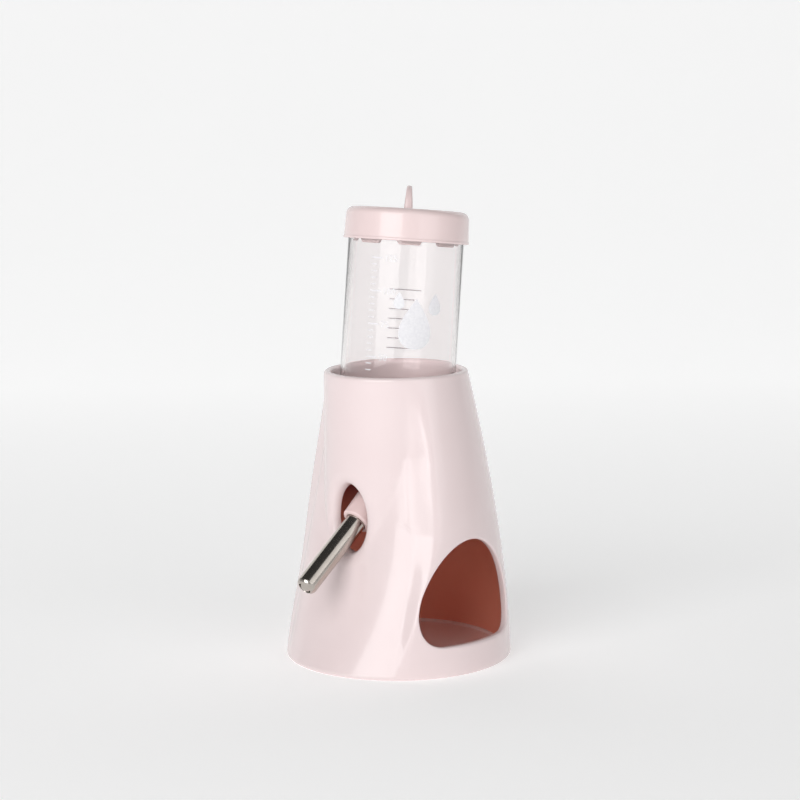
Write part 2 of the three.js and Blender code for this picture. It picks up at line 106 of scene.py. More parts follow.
# ---- Ribs under the bottle's collar
RIB_ANGLES = (118, 180, 242)
RIB_INNER = 18.5
RIB_OUTER = 38.0
RIB_DROP = 12.0
RIB_THICKNESS = 2.4
RIB_CORNER = 0.8
RIB_ROOT_CORNER = 0.4
RIB_BEVEL = 0.35
RIB_SUNK = 1.5  # how deep a rib's root sits in the wall

# ---- Floor tray
TRAY_RIM_HEIGHT = 3.2
TRAY_FLOOR = 2.0
TRAY_RIM_WALL = 1.4
TRAY_GAP = 0.9
TRAY_RIM_DRAFT = 0.3
TRAY_BAND = 8.0  # width of the part of the section that is drawn with fillets
TRAY_RINGS = (1, 0.85, 0.6, 0.3, 0.02)  # shares of the radius inside the band

# ---- Bottle, measured along its own axis from a datum just under the collar
LEAN = math.radians(6)
DATUM = Vector((0, -2.3, 90))
FIT = 0.3
BOTTLE_RADIUS = 25.3
BOTTLE_WALL = 1.6
NECK_RADIUS = 21.6
NECK_WALL = 2.0
NECK_TOP = 22.2
SHOULDER_TOP = 27.0
MOUTH = 10.2
BOTTLE_TOP = 103.3
SHOULDER_STEP = 1.1
SHOULDER_RISE = 1.4
CAP_RADIUS = 27.3
CAP_TOP_RADIUS = 26.8
CAP_TOP = 107.2
CAP_PLATE = 2.0
CAP_CORNER = 3.4
CAP_CROWN = 0.2
CAP_LIP = 0.25  # the skirt's lower edge stands out by this much
CAP_LIP_HEIGHT = 0.9
CAP_LIP_END = 1.4
SKIRT_BOTTOM = 93.0
CAP_SKIRT_INNER = 25.75
PLUG_RADIUS = 23.2
PLUG_WALL = 2.0
PLUG_BOTTOM = 91.3
LUGS = 8
LUG_HALF = math.radians(11)
LUG_EDGE = 0.05  # radians
LUG_RISE = 1.7
LUG_TURN = math.radians(3)
GASKET_INNER = 23.8
GASKET_OUTER = 25.4
LOOP_HALF_WIDTH = 9.0
LOOP_HEIGHT = 10.2
LOOP_HOLE_HALF = 5.2
LOOP_HOLE_HEIGHT = 6.4
LOOP_THICKNESS = 3.8
LOOP_FOOT = 0.9
LOOP_TURN = math.radians(-45)
LOOP_THINNING = 0.34
LOOP_CORNER_POWER = 4  # 2 would be an ellipse
LOOP_STEPS = 40
LOOP_SIDES = 28

# ---- Nozzle
COLLAR_RADIUS = 24.6
COLLAR_BOTTOM = 4.0
COLLAR_TOP = 21.7
COLLAR_FLOOR = 8.0
GRIP_RIBS = 48
GRIP_DEPTH = 0.35
GRIP_MARGIN = 1.6
GRIP_FROM = 1.5  # just under the margin, to take in the profile's own points
FUNNEL_TOP_RADIUS = 16.5
FUNNEL_LOW = -17.5
FUNNEL_LOW_RADIUS = 8.0
FUNNEL_FLOOR = 6.0
FUNNEL_FLOOR_RADIUS = 5.4
COLLAR_BORE = 22.3
WASHER_INNER = 17.4
WASHER_THICKNESS = 1.6
SPOUT_DROP = 10.5
SPOUT_ANGLE = math.radians(52.1) - LEAN
SPOUT_RADIUS = 4.6
SPOUT_WALL = 0.5
SPOUT_START = 6.0
SPOUT_END = 67.3
SPOUT_TIP_ROUND = 2.6
TIP_CLOSES_TO = math.radians(64)
TIP_LIP_GAP = 0.02  # radians
TIP_LIP_REACH = 0.06  # radians
FLANGE_RADIUS = 5.6
FLANGE_THICKNESS = 1.2
SEAL_LENGTH = 6.0
SEAL_RADIUS = 5.6
SOCKET_RADIUS = 5.9
SOCKET_LEDGE = 13.9
ELBOW_START = -2.0
ELBOW_RADIUS = 10.0
ELBOW_END = 5.0
ELBOW_END_RADIUS = 9.2
FERRULE_START = 13.0
FERRULE_START_RADIUS = 7.5
FERRULE_END = 28.0
FERRULE_END_RADIUS = 6.8
FERRULE_CORNER = 1.1
FERRULE_WAIST = 8.0  # fillet radius
ELBOW_WAIST = 6.0
FERRULE_BORE = 4.95
BALL_RADIUS = 3.5
TIP_BALL_AT = 64.1
STOP_AT = 49.5
STOP_THICKNESS = 1.5
STOP_HOLE = 1.6

BOTTLE_PLACE = Matrix.Translation(DATUM) @ Matrix.Rotation(-LEAN, 4, "X")
SPOUT_PLACE = (BOTTLE_PLACE @ Matrix.Translation((0, 0, -SPOUT_DROP))
               @ Matrix.Rotation(math.pi - SPOUT_ANGLE, 4, "X"))

LOOP_PLACE = BOTTLE_PLACE @ Matrix.Rotation(LOOP_TURN, 4, "Z")

# ---- Meshes
SMOOTH_UP_TO = math.radians(40)
FINE_WELD = 1e-4
COARSE_WELD = 0.002  # for sheets whose openings are closed by hand
CLEAN_REACH = 0.002  # cutting leaves slivers smaller than this


# ======== camera

CAMERA_AZIMUTH = math.radians(45)
CAMERA_DISTANCE = 895.0
CAMERA_HEIGHT = 246.6
CAMERA_PITCH = math.radians(8.48)
CAMERA_ROLL = math.radians(0.65)
CAMERA_YAW = 0.00199  # radians to the right of the stand's axis
CAMERA_LENS = 92.6
CAMERA_REACH = 20  # metres
CAMERA_SIDE = Vector((math.cos(CAMERA_AZIMUTH), math.sin(CAMERA_AZIMUTH), 0))
CAMERA_AHEAD = Vector((-math.sin(CAMERA_AZIMUTH), math.cos(CAMERA_AZIMUTH), 0))


def add_object(name, data):
    thing = bpy.data.objects.new(name, data)
    bpy.context.scene.collection.objects.link(thing)
    return thing


def make_camera():
    data = bpy.data.cameras.new("camera")
    data.lens = CAMERA_LENS
    data.clip_end = CAMERA_REACH
    camera = add_object("camera", data)
    up = Vector((0, 0, 1))
    forward = CAMERA_AHEAD * math.cos(CAMERA_PITCH) - up * math.sin(CAMERA_PITCH)
    upright = CAMERA_AHEAD * math.sin(CAMERA_PITCH) + up * math.cos(CAMERA_PITCH)
    right = CAMERA_SIDE * math.cos(CAMERA_ROLL) - upright * math.sin(CAMERA_ROLL)
    forward = (forward + right * CAMERA_YAW).normalized()
    upward = right.cross(forward).normalized()
    right = forward.cross(upward).normalized()
    turn = Matrix((right, upward, -forward)).transposed().to_4x4()
    place = (-CAMERA_AHEAD * CAMERA_DISTANCE + up * CAMERA_HEIGHT) * MM
    camera.matrix_world = Matrix.Translation(place) @ turn
    bpy.context.scene.camera = camera


# ======== stand surface

def smoothstep(low, high, value):
    t = np.clip((value - low) / (high - low), 0, 1)
    return t * t * (3 - 2 * t)


def lerp(a, b, t):
    return a + (b - a) * t


def bell_radius(z):
    return FOOT_RADIUS - (FOOT_RADIUS - RIM_RADIUS) * (np.maximum(z, 0) / STAND_HEIGHT) ** BELL_POWER


def face_radius(z, angle=0.0):
    aside = np.minimum(np.abs(angle) / SCOOP_INNER_TOP, 1) ** 2
    taper = np.maximum(z - FACE_TAPER_FROM, 0) / (STAND_HEIGHT - FACE_TAPER_FROM)
    power = FLARE_POWER - FLARE_POWER_DROP * aside
    flare = np.maximum(1 - z / (FLARE_HEIGHT + FLARE_RISE * aside), 0) ** power
    return FACE_RADIUS + (RIM_RADIUS - FACE_RADIUS) * taper + (FOOT_RADIUS - FACE_RADIUS) * flare


def outer_radius(z, angle):
    """Radius at a height and at an angle in degrees from the spout, positive towards the doorway."""
    z, angle = np.broadcast_arrays(np.asarray(z, float), np.asarray(angle, float))
    wrapped = np.mod(angle + 180, 360) - 180
    open_ = 1 - (1 - np.clip(z / SCOOP_NARROWS_BELOW, 0, 1)) ** 2
    door_side = np.clip(z / DOOR_SIDE_NARROWS_BELOW, 0, 1) ** DOOR_SIDE_POWER
    inner = lerp(SCOOP_INNER_FOOT, SCOOP_INNER_TOP, open_)
    outer = lerp(SCOOP_OUTER_FOOT, SCOOP_OUTER_TOP, np.where(wrapped > 0, door_side, open_))
    blend = smoothstep(inner, outer, np.abs(wrapped))
    return lerp(face_radius(z, wrapped), bell_radius(z), blend)


def inner_radius(z, angle):
    step = 0.5
    radius = outer_radius(z, angle)
    rise = (outer_radius(z + step, angle) - outer_radius(z - step, angle)) / (2 * step)
    turn = (outer_radius(z, angle + step) - outer_radius(z, angle - step)) / (math.radians(2 * step) * radius)
    return radius - WALL * np.minimum(np.sqrt(1 + rise ** 2 + turn ** 2), WALL_STRETCH_LIMIT)


def around(radius, angle, z):
    radius, angle, z = np.broadcast_arrays(radius, np.radians(angle), z)
    return np.stack([radius * np.sin(angle), -radius * np.cos(angle), z], -1)


# ======== mesh helpers

def mesh_from(name, points, faces, place=None, weld=FINE_WELD, kinds=None):
    """A mesh object from points in millimetres, with its normals out and smooth over gentle edges."""
    mesh = bpy.data.meshes.new(name)
    mesh.from_pydata([tuple(p) for p in points], [], faces)
    if kinds is not None:
        mesh.polygons.foreach_set("material_index", kinds)
    if place is not None:
        mesh.transform(place)
    mesh.transform(Matrix.Scale(MM, 4))
    thing = add_object(name, mesh)
    shaped = bmesh.new()
    shaped.from_mesh(mesh)
    bmesh.ops.remove_doubles(shaped, verts=shaped.verts, dist=weld * MM)
    bmesh.ops.recalc_face_normals(shaped, faces=shaped.faces)
    shaped.to_mesh(mesh)
    shaped.free()
    shade_smooth(thing)
    return thing


def shade_smooth(thing):
    thing.data.shade_smooth()
    thing.data.set_sharp_from_angle(angle=SMOOTH_UP_TO)


def rounded(corners, steps=5):
    """A closed profile of (radius, height, fillet) corners, with each fillet drawn as an arc."""
    points = []
    for i, (radius, height, fillet) in enumerate(corners):
        here = Vector((radius, height))
        if fillet <= 0:
            points.append(tuple(here))
            continue
        back = (Vector(corners[i - 1][:2]) - here).normalized()
        ahead = (Vector(corners[(i + 1) % len(corners)][:2]) - here).normalized()
        half = back.angle(ahead) / 2
        reach = fillet / math.tan(half)
        centre = here + (back + ahead).normalized() * (fillet / math.sin(half))
        first = here + back * reach - centre
        last = here + ahead * reach - centre
        sweep = first.angle_signed(last)
        for k in range(steps + 1):
            turn = -sweep * k / steps
            c, s = math.cos(turn), math.sin(turn)
            x = centre.x + first.x * c - first.y * s
            points.append((x, centre.y + first.x * s + first.y * c))
    return points


def to_axis(corners, low, high, steps=5):
    """A rounded profile closed by the axis, which it meets at the heights low and high."""
    return [(0.0, low)] + rounded(corners + [(0.0, high, 0), (0.0, low, 0)], steps)[:-1]


def turned(name, profile, place, segments=128, wave=None):
    """Turns a closed profile about the axis. wave(angle, radius, height) may shift a point."""
    points = []
    for radius, height in profile:
        for k in range(segments):
            angle = TAU * k / segments
            r, h = (radius, height) if wave is None else wave(angle, radius, height)
            r = max(r, 0)
            points.append((r * math.cos(angle), r * math.sin(angle), h))
    faces = []
    for j in range(len(profile)):
        after = (j + 1) % len(profile)
        if max(profile[j][0], profile[after][0]) > 0:
            faces += band_faces(j, after, segments)
    return mesh_from(name, points, faces, place)


def band_faces(first, second, sides):
    """Quads between two numbered loops of sides points each."""
    a, b = first * sides, second * sides
    turns = [(k, (k + 1) % sides) for k in range(sides)]
    return [(a + k, a + after, b + after, b + k) for k, after in turns]


def capped_bands(count, sides):
    """Faces that join loops of points into a tube with its two ends capped."""
    faces = [face for j in range(count - 1) for face in band_faces(j, j + 1, sides)]
    return faces + [tuple(range(sides)), tuple(range((count - 1) * sides, count * sides))]


def combine(thing, other, operation):
    """Joins or cuts one closed mesh with another, and removes the other."""
    change = thing.modifiers.new(operation.lower(), "BOOLEAN")
    change.operation = operation
    change.object = other
    change.solver = "EXACT"
    bpy.context.view_layer.update()
    evaluated = thing.evaluated_get(bpy.context.evaluated_depsgraph_get())
    mesh = bpy.data.meshes.new_from_object(evaluated)
    thing.modifiers.clear()
    thing.data = mesh
    bpy.data.objects.remove(other)
    clean = bmesh.new()
    clean.from_mesh(mesh)
    bmesh.ops.dissolve_degenerate(clean, edges=clean.edges, dist=CLEAN_REACH * MM)
    bmesh.ops.remove_doubles(clean, verts=clean.verts, dist=CLEAN_REACH * MM)
    clean.to_mesh(mesh)
    clean.free()
    shade_smooth(thing)


def finish_piece(thing, body, materials, slot, *replaced):
    for material in materials:
        thing.data.materials.append(material)
    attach(thing, body)
    if replaced:
        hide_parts(*replaced)


# ======== materials

def linear(*srgb):
    """An sRGB colour of 11 to 255 as linear values."""
    return tuple(((c / 255 + 0.055) / 1.055) ** 2.4 for c in srgb) + (1.0,)


NOISE_LOW = 0.3  # nearly all of a noise lies between these two
NOISE_HIGH = 0.7
STRONG_NOISE_LOW = 0.35
STRONG_NOISE_HIGH = 0.65


class Nodes:
    """A shorthand for building a node tree."""

    def __init__(self, name):
        self.material = bpy.data.materials.new(name)
        self.material.use_nodes = True
        self.tree = self.material.node_tree
        self.shader = self.tree.nodes["Principled BSDF"]
        self.output = self.tree.nodes["Material Output"]

    def add(self, kind, **sockets):
        node = self.tree.nodes.new(kind)
        for key, value in sockets.items():
            node.inputs[key.replace("_", " ")].default_value = value
        return node

    def link(self, source, target):
        self.tree.links.new(source, target)

    def position(self, reader):
        """Feeds a node the place on the piece, in metres."""
        place = self.add("ShaderNodeTexCoord")
        self.link(place.outputs["Object"], reader.inputs[0])
        return reader

    def noise(self, scale, detail, roughness=0.5):
        node = self.add("ShaderNodeTexNoise", Scale=scale, Detail=detail, Roughness=roughness)
        return self.position(node).outputs["Fac"]

    def height(self):
        return self.position(self.add("ShaderNodeSeparateXYZ")).outputs["Z"]

    def ramp(self, source, low, high, low_value, high_value):
        node = self.add("ShaderNodeMapRange", From_Min=low, From_Max=high, To_Min=low_value, To_Max=high_value)
        self.link(source, node.inputs["Value"])
        return node.outputs["Result"]

    def mix(self, factor, first, second):
        node = self.add("ShaderNodeMix")
        node.data_type = "RGBA"
        node.inputs["A"].default_value = first
        node.inputs["B"].default_value = second
        self.link(factor, node.inputs["Factor"])
        return node.outputs["Result"]

    def cloud(self, scale, detail, low=0, high=1):
        return self.ramp(self.noise(scale, detail), NOISE_LOW, NOISE_HIGH, low, high)

    def tones(self, factor, first, second):
        """The base colour: two sRGB tones mixed by a factor."""
        self.link(self.mix(factor, linear(*first), linear(*second)), self.shader.inputs["Base Color"])

    def polish(self, scale, detail, low, high, roughness=0.5):
        """An uneven roughness."""
        noise = self.noise(scale, detail, roughness)
        self.link(self.ramp(noise, NOISE_LOW, NOISE_HIGH, low, high), self.shader.inputs["Roughness"])

    def bump(self, scale, detail, distance, strength):
        height = self.noise(scale, detail)
        node = self.add("ShaderNodeBump", Strength=strength, Distance=distance)
        self.link(height, node.inputs["Height"])
        self.link(node.outputs["Normal"], self.shader.inputs["Normal"])

    def set(self, **sockets):
        for key, value in sockets.items():
            self.shader.inputs[key.replace("_", " ")].default_value = value


def moulded_plastic(name, colour, tone, roughness):
    """Glossy moulded plastic: a faint cloud in its colour, uneven polish and a soft orange peel.

    A roughness that crosses 0.27 within one piece shows as specks in a denoised picture, so each range keeps to
    one side of it.
    """
    nodes = Nodes(name)
    nodes.tones(nodes.cloud(35, 2), colour, tone)
    nodes.polish(240, 3, roughness - 0.03, roughness + 0.03)
    nodes.bump(130, 1, 0.00003, 0.2)
    nodes.set(IOR=1.5, Coat_Weight=0.4, Coat_Roughness=0.08)
    return nodes.material


def cavity_painted_shade(name, low, middle, high):
    """The same plastic on the inside, with painted light and shade: painted redder by height, as the light that
    goes round the cavity would make it, most of all half way up.

    low, middle and high are the painted colours at the foot (painted bounce light), behind the port (painted
    shade) and in the throat.
    """
    port_from, port_full, throat_from, throat_full = 0.050, 0.070, 0.086, 0.112  # metres above the ground
    nodes = Nodes(name)
    cloud = nodes.cloud(35, 2, 0.96, 1.0)
    # painted light and shade by height: a painted bounce glow at the foot, painted dark red shade behind the
    # port, pale in the throat
    lower = nodes.mix(nodes.ramp(nodes.height(), port_from, port_full, 0, 1), linear(*low), linear(*middle))
    mixed = nodes.mix(nodes.ramp(nodes.height(), throat_from, throat_full, 0, 1), linear(*low), linear(*high))
    nodes.link(lower, mixed.node.inputs["A"])
    painted_shade_tinted = nodes.add("ShaderNodeMix", Factor=1.0)
    painted_shade_tinted.data_type = "RGBA"
    painted_shade_tinted.blend_type = "MULTIPLY"
    nodes.link(mixed, painted_shade_tinted.inputs["A"])
    nodes.link(cloud, painted_shade_tinted.inputs["B"])
    nodes.link(painted_shade_tinted.outputs["Result"], nodes.shader.inputs["Base Color"])
    nodes.polish(240, 3, 0.38, 0.5)
    nodes.bump(130, 1, 0.00003, 0.2)
    nodes.set(IOR=1.5)
    return nodes.material


def clear_plastic(name, colour):
    """Clear moulded plastic with faint flow marks. Shadow rays pass through, because the wall is thin."""
    nodes = Nodes(name)
    nodes.set(Base_Color=linear(*colour), Transmission_Weight=1.0, IOR=1.46)
    nodes.polish(90, 3, 0.0, 0.03)
    nodes.bump(26, 1, 0.0001, 0.25)
    path = nodes.add("ShaderNodeLightPath")
    through = nodes.add("ShaderNodeBsdfTransparent", Color=(0.93, 0.93, 0.93, 1))
    mix = nodes.add("ShaderNodeMixShader")
    nodes.link(path.outputs["Is Shadow Ray"], mix.inputs[0])
    nodes.link(nodes.shader.outputs["BSDF"], mix.inputs[1])
    nodes.link(through.outputs["BSDF"], mix.inputs[2])
    nodes.link(mix.outputs["Shader"], nodes.output.inputs["Surface"])
    return nodes.material


def polished_steel(name):
    """Drawn steel tube, polished: fine scuffs and slightly uneven polish."""
    nodes = Nodes(name)
    cloud = nodes.ramp(nodes.noise(90, 4), STRONG_NOISE_LOW, STRONG_NOISE_HIGH, 0, 1)
    nodes.tones(cloud, (186, 178, 170), (196, 189, 182))
    nodes.polish(700, 4, 0.10, 0.24, roughness=0.7)
    nodes.bump(300, 3, 0.00002, 0.3)
    nodes.set(Metallic=1.0)
    return nodes.material


def soft_rubber(name, colour, tone):
    """Silicone rubber with a fine matt grain."""
    nodes = Nodes(name)
    nodes.tones(nodes.cloud(160, 3), colour, tone)
    nodes.polish(500, 2, 0.45, 0.62)
    nodes.bump(900, 2, 0.00003, 0.4)
    return nodes.material


def screen_ink(name, colour, tone):
    """Screen-printed ink, slightly uneven in its cover."""
    nodes = Nodes(name)
    cloud = nodes.ramp(nodes.noise(900, 4, 0.6), STRONG_NOISE_LOW, STRONG_NOISE_HIGH, 0, 1)
    nodes.tones(cloud, colour, tone)
    nodes.polish(700, 2, 0.35, 0.5)
    return nodes.material


PINK = moulded_plastic("stand_plastic", (243, 226, 226), (241, 223, 223), 0.24)
# inside plastic: painted bounce light at the foot, painted dark red shade behind the port, plain pale pink in
# the throat
PINK_INSIDE_PAINTED_SHADE = cavity_painted_shade("stand_inside_painted_shade", (254, 170, 144), (140, 26, 22), (244, 228, 228))
CAP_PINK = moulded_plastic("cap_plastic", (243, 222, 221), (241, 219, 218), 0.24)
# the tray's pink is paler and warmer than the stand's: painted light on the floor of the cavity
TRAY_PINK_PAINTED_LIGHT = moulded_plastic("tray_plastic_painted_light", (253, 228, 224), (250, 223, 219), 0.34)
NOZZLE_PINK = moulded_plastic("nozzle_plastic", (242, 216, 214), (240, 212, 210), 0.31)
CLEAR = clear_plastic("bottle_plastic", (252, 249, 249))
STEEL = polished_steel("spout_steel")
SILICONE = soft_rubber("seal_silicone", (214, 168, 164), (206, 158, 154))
WHITE_INK = screen_ink("white_print", (244, 243, 246), (236, 235, 239))
GREY_INK = screen_ink("grey_print", (176, 174, 178), (188, 186, 190))


# ======== stand

class Shell:
    """Loops of points and the faces between them. Faces of kind 1 are on the inside."""

    def __init__(self):
        self.points = []
        self.faces = []
        self.kinds = []

    def add(self, points):
        start = len(self.points)
        self.points.extend(np.asarray(points, float).reshape(-1, 3))
        return np.arange(start, len(self.points))

    def face(self, corners, kind):
        self.faces.append(tuple(map(int, corners)))
        self.kinds.append(kind)

    def bands(self, loops, kind=0):
        """Quads between closed loops of equal length, each to the next."""
        numbered = [self.add(loop) for loop in loops]
        for first, second in zip(numbered, numbered[1:]):
            for corners in zip(first, np.roll(first, -1), np.roll(second, -1), second):
                self.face(corners, kind)

    def grid(self, radius, angles, heights, windows, kind=0):
        """A sheet round the stand, with the cells of each window left out."""
        points = around(radius(heights[:, None], angles[None, :]), angles[None, :], heights[:, None])
        numbers = self.add(points).reshape(len(heights), len(angles))
        count = len(angles)
        for j in range(len(heights) - 1):
            for i in range(count):
                if any(w.holds(i, j) for w in windows):
                    continue
                k = (i + 1) % count
                self.face((numbers[j, i], numbers[j, k], numbers[j + 1, k], numbers[j + 1, i]), kind)


def nearest(values, target):
    return int(np.argmin(np.abs(values - target)))


class Hole:
    """An opening cut straight through the wall, facing an angle from the spout.

    Points of the opening are (aside, height): aside is level and across the cut, 0 at its centre. Its window is
    the patch of cells that the grid leaves out: reach degrees to either side, and from low to high.
    """

    def __init__(self, facing, outline, centre, reach, low, high):
        self.facing, self.outline, self.centre = facing, outline, centre
        self.reach, self.low, self.high = reach, low, high

    def settle(self, angles, heights):
        """Picks the grid cells that the hole's window takes."""
        self.columns = [nearest(angles, self.facing - self.reach), nearest(angles, self.facing + self.reach)]
        self.rows = [nearest(heights, self.low), nearest(heights, self.high)]
        i0, i1 = self.columns
        j0, j1 = self.rows
        edge = [(i, j0) for i in range(i0, i1)] + [(i1, j) for j in range(j0, j1)]
        edge += [(i, j1) for i in range(i1, i0, -1)] + [(i0, j) for j in range(j1, j0, -1)]
        columns, rows = np.array(edge).T
        self.edge_angles, self.edge_heights = angles[columns], heights[rows]
        aside, height = self.flat(outer_radius)
        self.bearings = np.arctan2(height - self.centre, aside)

    def holds(self, i, j):
        return self.columns[0] <= i < self.columns[1] and self.rows[0] <= j < self.rows[1]

    def flat(self, radius):
        """The window's edge as (aside, height)."""
        turn = np.radians(self.edge_angles - self.facing)
        return radius(self.edge_heights, self.edge_angles) * np.sin(turn), self.edge_heights

    def lift(self, radius, aside, height):
        """How far out the sheet lies at points of the opening."""
        low = np.full(aside.shape, -SEARCH_REACH)
        high = np.full(aside.shape, SEARCH_REACH)
        for _ in range(SEARCH_STEPS):
            middle = (low + high) / 2
            under = radius(height, self.facing + middle) * np.sin(np.radians(middle)) < aside
            low = np.where(under, middle, low)
            high = np.where(under, high, middle)
        return radius(height, self.facing + low) * np.cos(np.radians(low))

    def place(self, aside, height, out):
        turn = math.radians(self.facing)
        x = aside * math.cos(turn) + out * math.sin(turn)
        y = aside * math.sin(turn) - out * math.cos(turn)
        return np.stack([x, y, np.broadcast_to(height, aside.shape)], -1)

    def web(self, radius, spread):
        """Loops on the sheet from the window's edge in to the outline spread by a little."""
        far_aside, far_height = self.flat(radius)
        near_aside, near_height = self.outline(spread, self.bearings)
        loops = [around(radius(self.edge_heights, self.edge_angles), self.edge_angles, self.edge_heights)]
        for k in range(1, WEB_RINGS + 1):
            t = (k / WEB_RINGS) ** WEB_CROWDING
            aside = lerp(far_aside, near_aside, t)
            height = lerp(far_height, near_height, t)
            loops.append(self.place(aside, height, self.lift(radius, aside, height)))
        return loops

    def lip(self, radius, spread, depth, inward, steps, flare=0.0):
        """Loops that round the sheet over into the cut. inward is 1 on the outer sheet and -1 on the inner."""
        loops = []
        for k in range(steps + 1):
            turn = math.pi / 2 * k / steps
            aside, height = self.outline(flare + spread * (1 - math.sin(turn)), self.bearings)
            out = self.lift(radius, aside, height) - inward * depth * (1 - math.cos(turn))
            loops.append(self.place(aside, height, out))
        return loops


def oval(half_width, half_height, centre_height):
    """An ellipse's outline, which gives (aside, height) at bearings from its centre, spread by a little."""
    def outline(spread, bearings):
        a = half_width + spread
        b = half_height + spread
        reach = 1 / np.sqrt((np.cos(bearings) / a) ** 2 + (np.sin(bearings) / b) ** 2)
        return reach * np.cos(bearings), centre_height + reach * np.sin(bearings)
    return outline


def bezier(p0, p1, p2, p3):
    t = np.linspace(0, 1, CURVE_STEPS, endpoint=False)[:, None]
    p0, p1, p2, p3 = (np.array(p, float) for p in (p0, p1, p2, p3))
    return (1 - t) ** 3 * p0 + 3 * (1 - t) ** 2 * t * p1 + 3 * (1 - t) * t ** 2 * p2 + t ** 3 * p3


def egg(centre_height):
    """The doorway's outline: a flat sill, full sides and a round top."""
    w = DOOR_HALF_WIDTH
    widest = (w, DOOR_WIDEST)
    lower = bezier((DOOR_SILL_HALF, DOOR_SILL), (DOOR_SILL_SHARE * w, DOOR_SILL), (w, DOOR_SIDE_FROM), widest)
    shoulder = (DOOR_SHOULDER_SHARE * w, DOOR_SIDE_TO)
    upper = bezier(widest, shoulder, (DOOR_CROWN_SHARE * w, DOOR_TOP), (0, DOOR_TOP))
    half = np.concatenate([lower, upper])
    along_sill = np.linspace(-DOOR_SILL_HALF, DOOR_SILL_HALF, CURVE_STEPS, endpoint=False)
    floor = np.stack([along_sill, np.full(CURVE_STEPS, DOOR_SILL)], -1)
    mirrored = (half * [-1, 1])[::-1]
    points = np.concatenate([floor, half, [[0, DOOR_TOP]], mirrored[:-1]])

    def outline(spread, bearings):
        ahead = np.roll(points, -1, 0) - np.roll(points, 1, 0)
        normal = np.stack([ahead[:, 1], -ahead[:, 0]], -1)
        normal /= np.linalg.norm(normal, axis=1, keepdims=True)
        moved = points + normal * spread - [0, centre_height]
        at = np.arctan2(moved[:, 1], moved[:, 0])
        order = np.argsort(at)
        reach = np.interp(bearings, at[order], np.hypot(moved[:, 0], moved[:, 1])[order], period=TAU)
        return reach * np.cos(bearings), centre_height + reach * np.sin(bearings)
    return outline


def stand_shell():
    """The bell, as an outer and an inner sheet joined at the rim, the foot, the doorway and the port."""
    rim_round = WALL / 2
    top = STAND_HEIGHT - rim_round
    angles = np.arange(STAND_COLUMNS) * 360 / STAND_COLUMNS + STAND_SEAM
    heights = np.linspace(FOOT_ROUND, top, STAND_ROWS)
    port_outline = oval(PORT_HALF_WIDTH, PORT_HALF_HEIGHT, PORT_HEIGHT)
    port = Hole(facing=0, outline=port_outline, centre=PORT_HEIGHT, reach=36, low=38, high=91)
    door = Hole(facing=90, outline=egg(DOOR_MIDDLE), centre=DOOR_MIDDLE, reach=47, low=6, high=65)
    windows = [port, door]
    for hole in windows:
        hole.settle(angles, heights)
    shell = Shell()
    shell.grid(outer_radius, angles, heights, windows)
    shell.grid(inner_radius, angles, heights, windows, kind=1)

    # the rim is a full round, the foot has a small one outside
    rim = [around(outer_radius(top, angles), angles, top)]
    for turn in np.linspace(0, math.pi, 13)[1:-1]:
        inset = rim_round * (1 - math.cos(turn))
        rim.append(around(outer_radius(top, angles) - inset, angles, top + rim_round * math.sin(turn)))
    rim.append(around(inner_radius(top, angles), angles, top))
    shell.bands(rim)
    foot = []
    for turn in np.linspace(0, math.pi / 2, 5):
        inset = FOOT_ROUND * (1 - math.cos(turn))
        height = FOOT_ROUND * (1 - math.sin(turn))
        foot.append(around(outer_radius(FOOT_ROUND, angles) - inset, angles, height))
    foot += [around(inner_radius(FOOT_ROUND, angles), angles, height) for height in (0, FOOT_ROUND)]
    shell.bands(foot)

    # the doorway: a small round outside, the straight cut, a smaller round inside
    shell.bands(door.web(outer_radius, DOOR_LIP))
    outside = door.lip(outer_radius, DOOR_LIP, DOOR_LIP, inward=1, steps=6)
    inside = door.lip(inner_radius, DOOR_INNER_LIP, DOOR_INNER_LIP, inward=-1, steps=5)
    shell.bands(outside + inside[::-1])
    shell.bands(door.web(inner_radius, DOOR_INNER_LIP), kind=1)

    # the port: a bell mouth, the throat, and its collar standing off the inside of the wall
    shell.bands(port.web(outer_radius, PORT_LIP_SPREAD))
    mouth = port.lip(outer_radius, PORT_LIP_SPREAD, PORT_LIP_DEPTH, inward=1, steps=12)
    middle = PORT_COLLAR_WALL / 2
    throat = []
    for turn in np.linspace(0, math.pi, 9):
        aside, height = port.outline(middle - middle * math.cos(turn), port.bearings)
        out = PORT_COLLAR_END + PORT_COLLAR_END_ROUND * (1 - math.sin(turn))
        throat.append(port.place(aside, height, np.full(aside.shape, out)))
    root = PORT_COLLAR_FILLET
    fillet = port.lip(inner_radius, root, root, inward=1, steps=5, flare=PORT_COLLAR_WALL)
    shell.bands(mouth + throat + fillet[::-1])
    shell.bands(port.web(inner_radius, PORT_COLLAR_WALL + root), kind=1)

    stand = mesh_from("stand_moulding", shell.points, shell.faces, weld=COARSE_WELD, kinds=shell.kinds)
    # the inner faces take the inside plastic, with its painted shade and painted bounce light
    finish_piece(stand, "stand", [PINK, PINK_INSIDE_PAINTED_SHADE], "pink_plastic", "stand_shell")


def shelf_height(towards_spout):
    """Height of the plane under the collar, at a distance from the stand's axis towards the spout."""
    axis = -DATUM.y - COLLAR_BOTTOM * math.sin(LEAN)
    middle = DATUM.z + COLLAR_BOTTOM * math.cos(LEAN)
    return middle + math.tan(LEAN) * (towards_spout - axis) - FIT


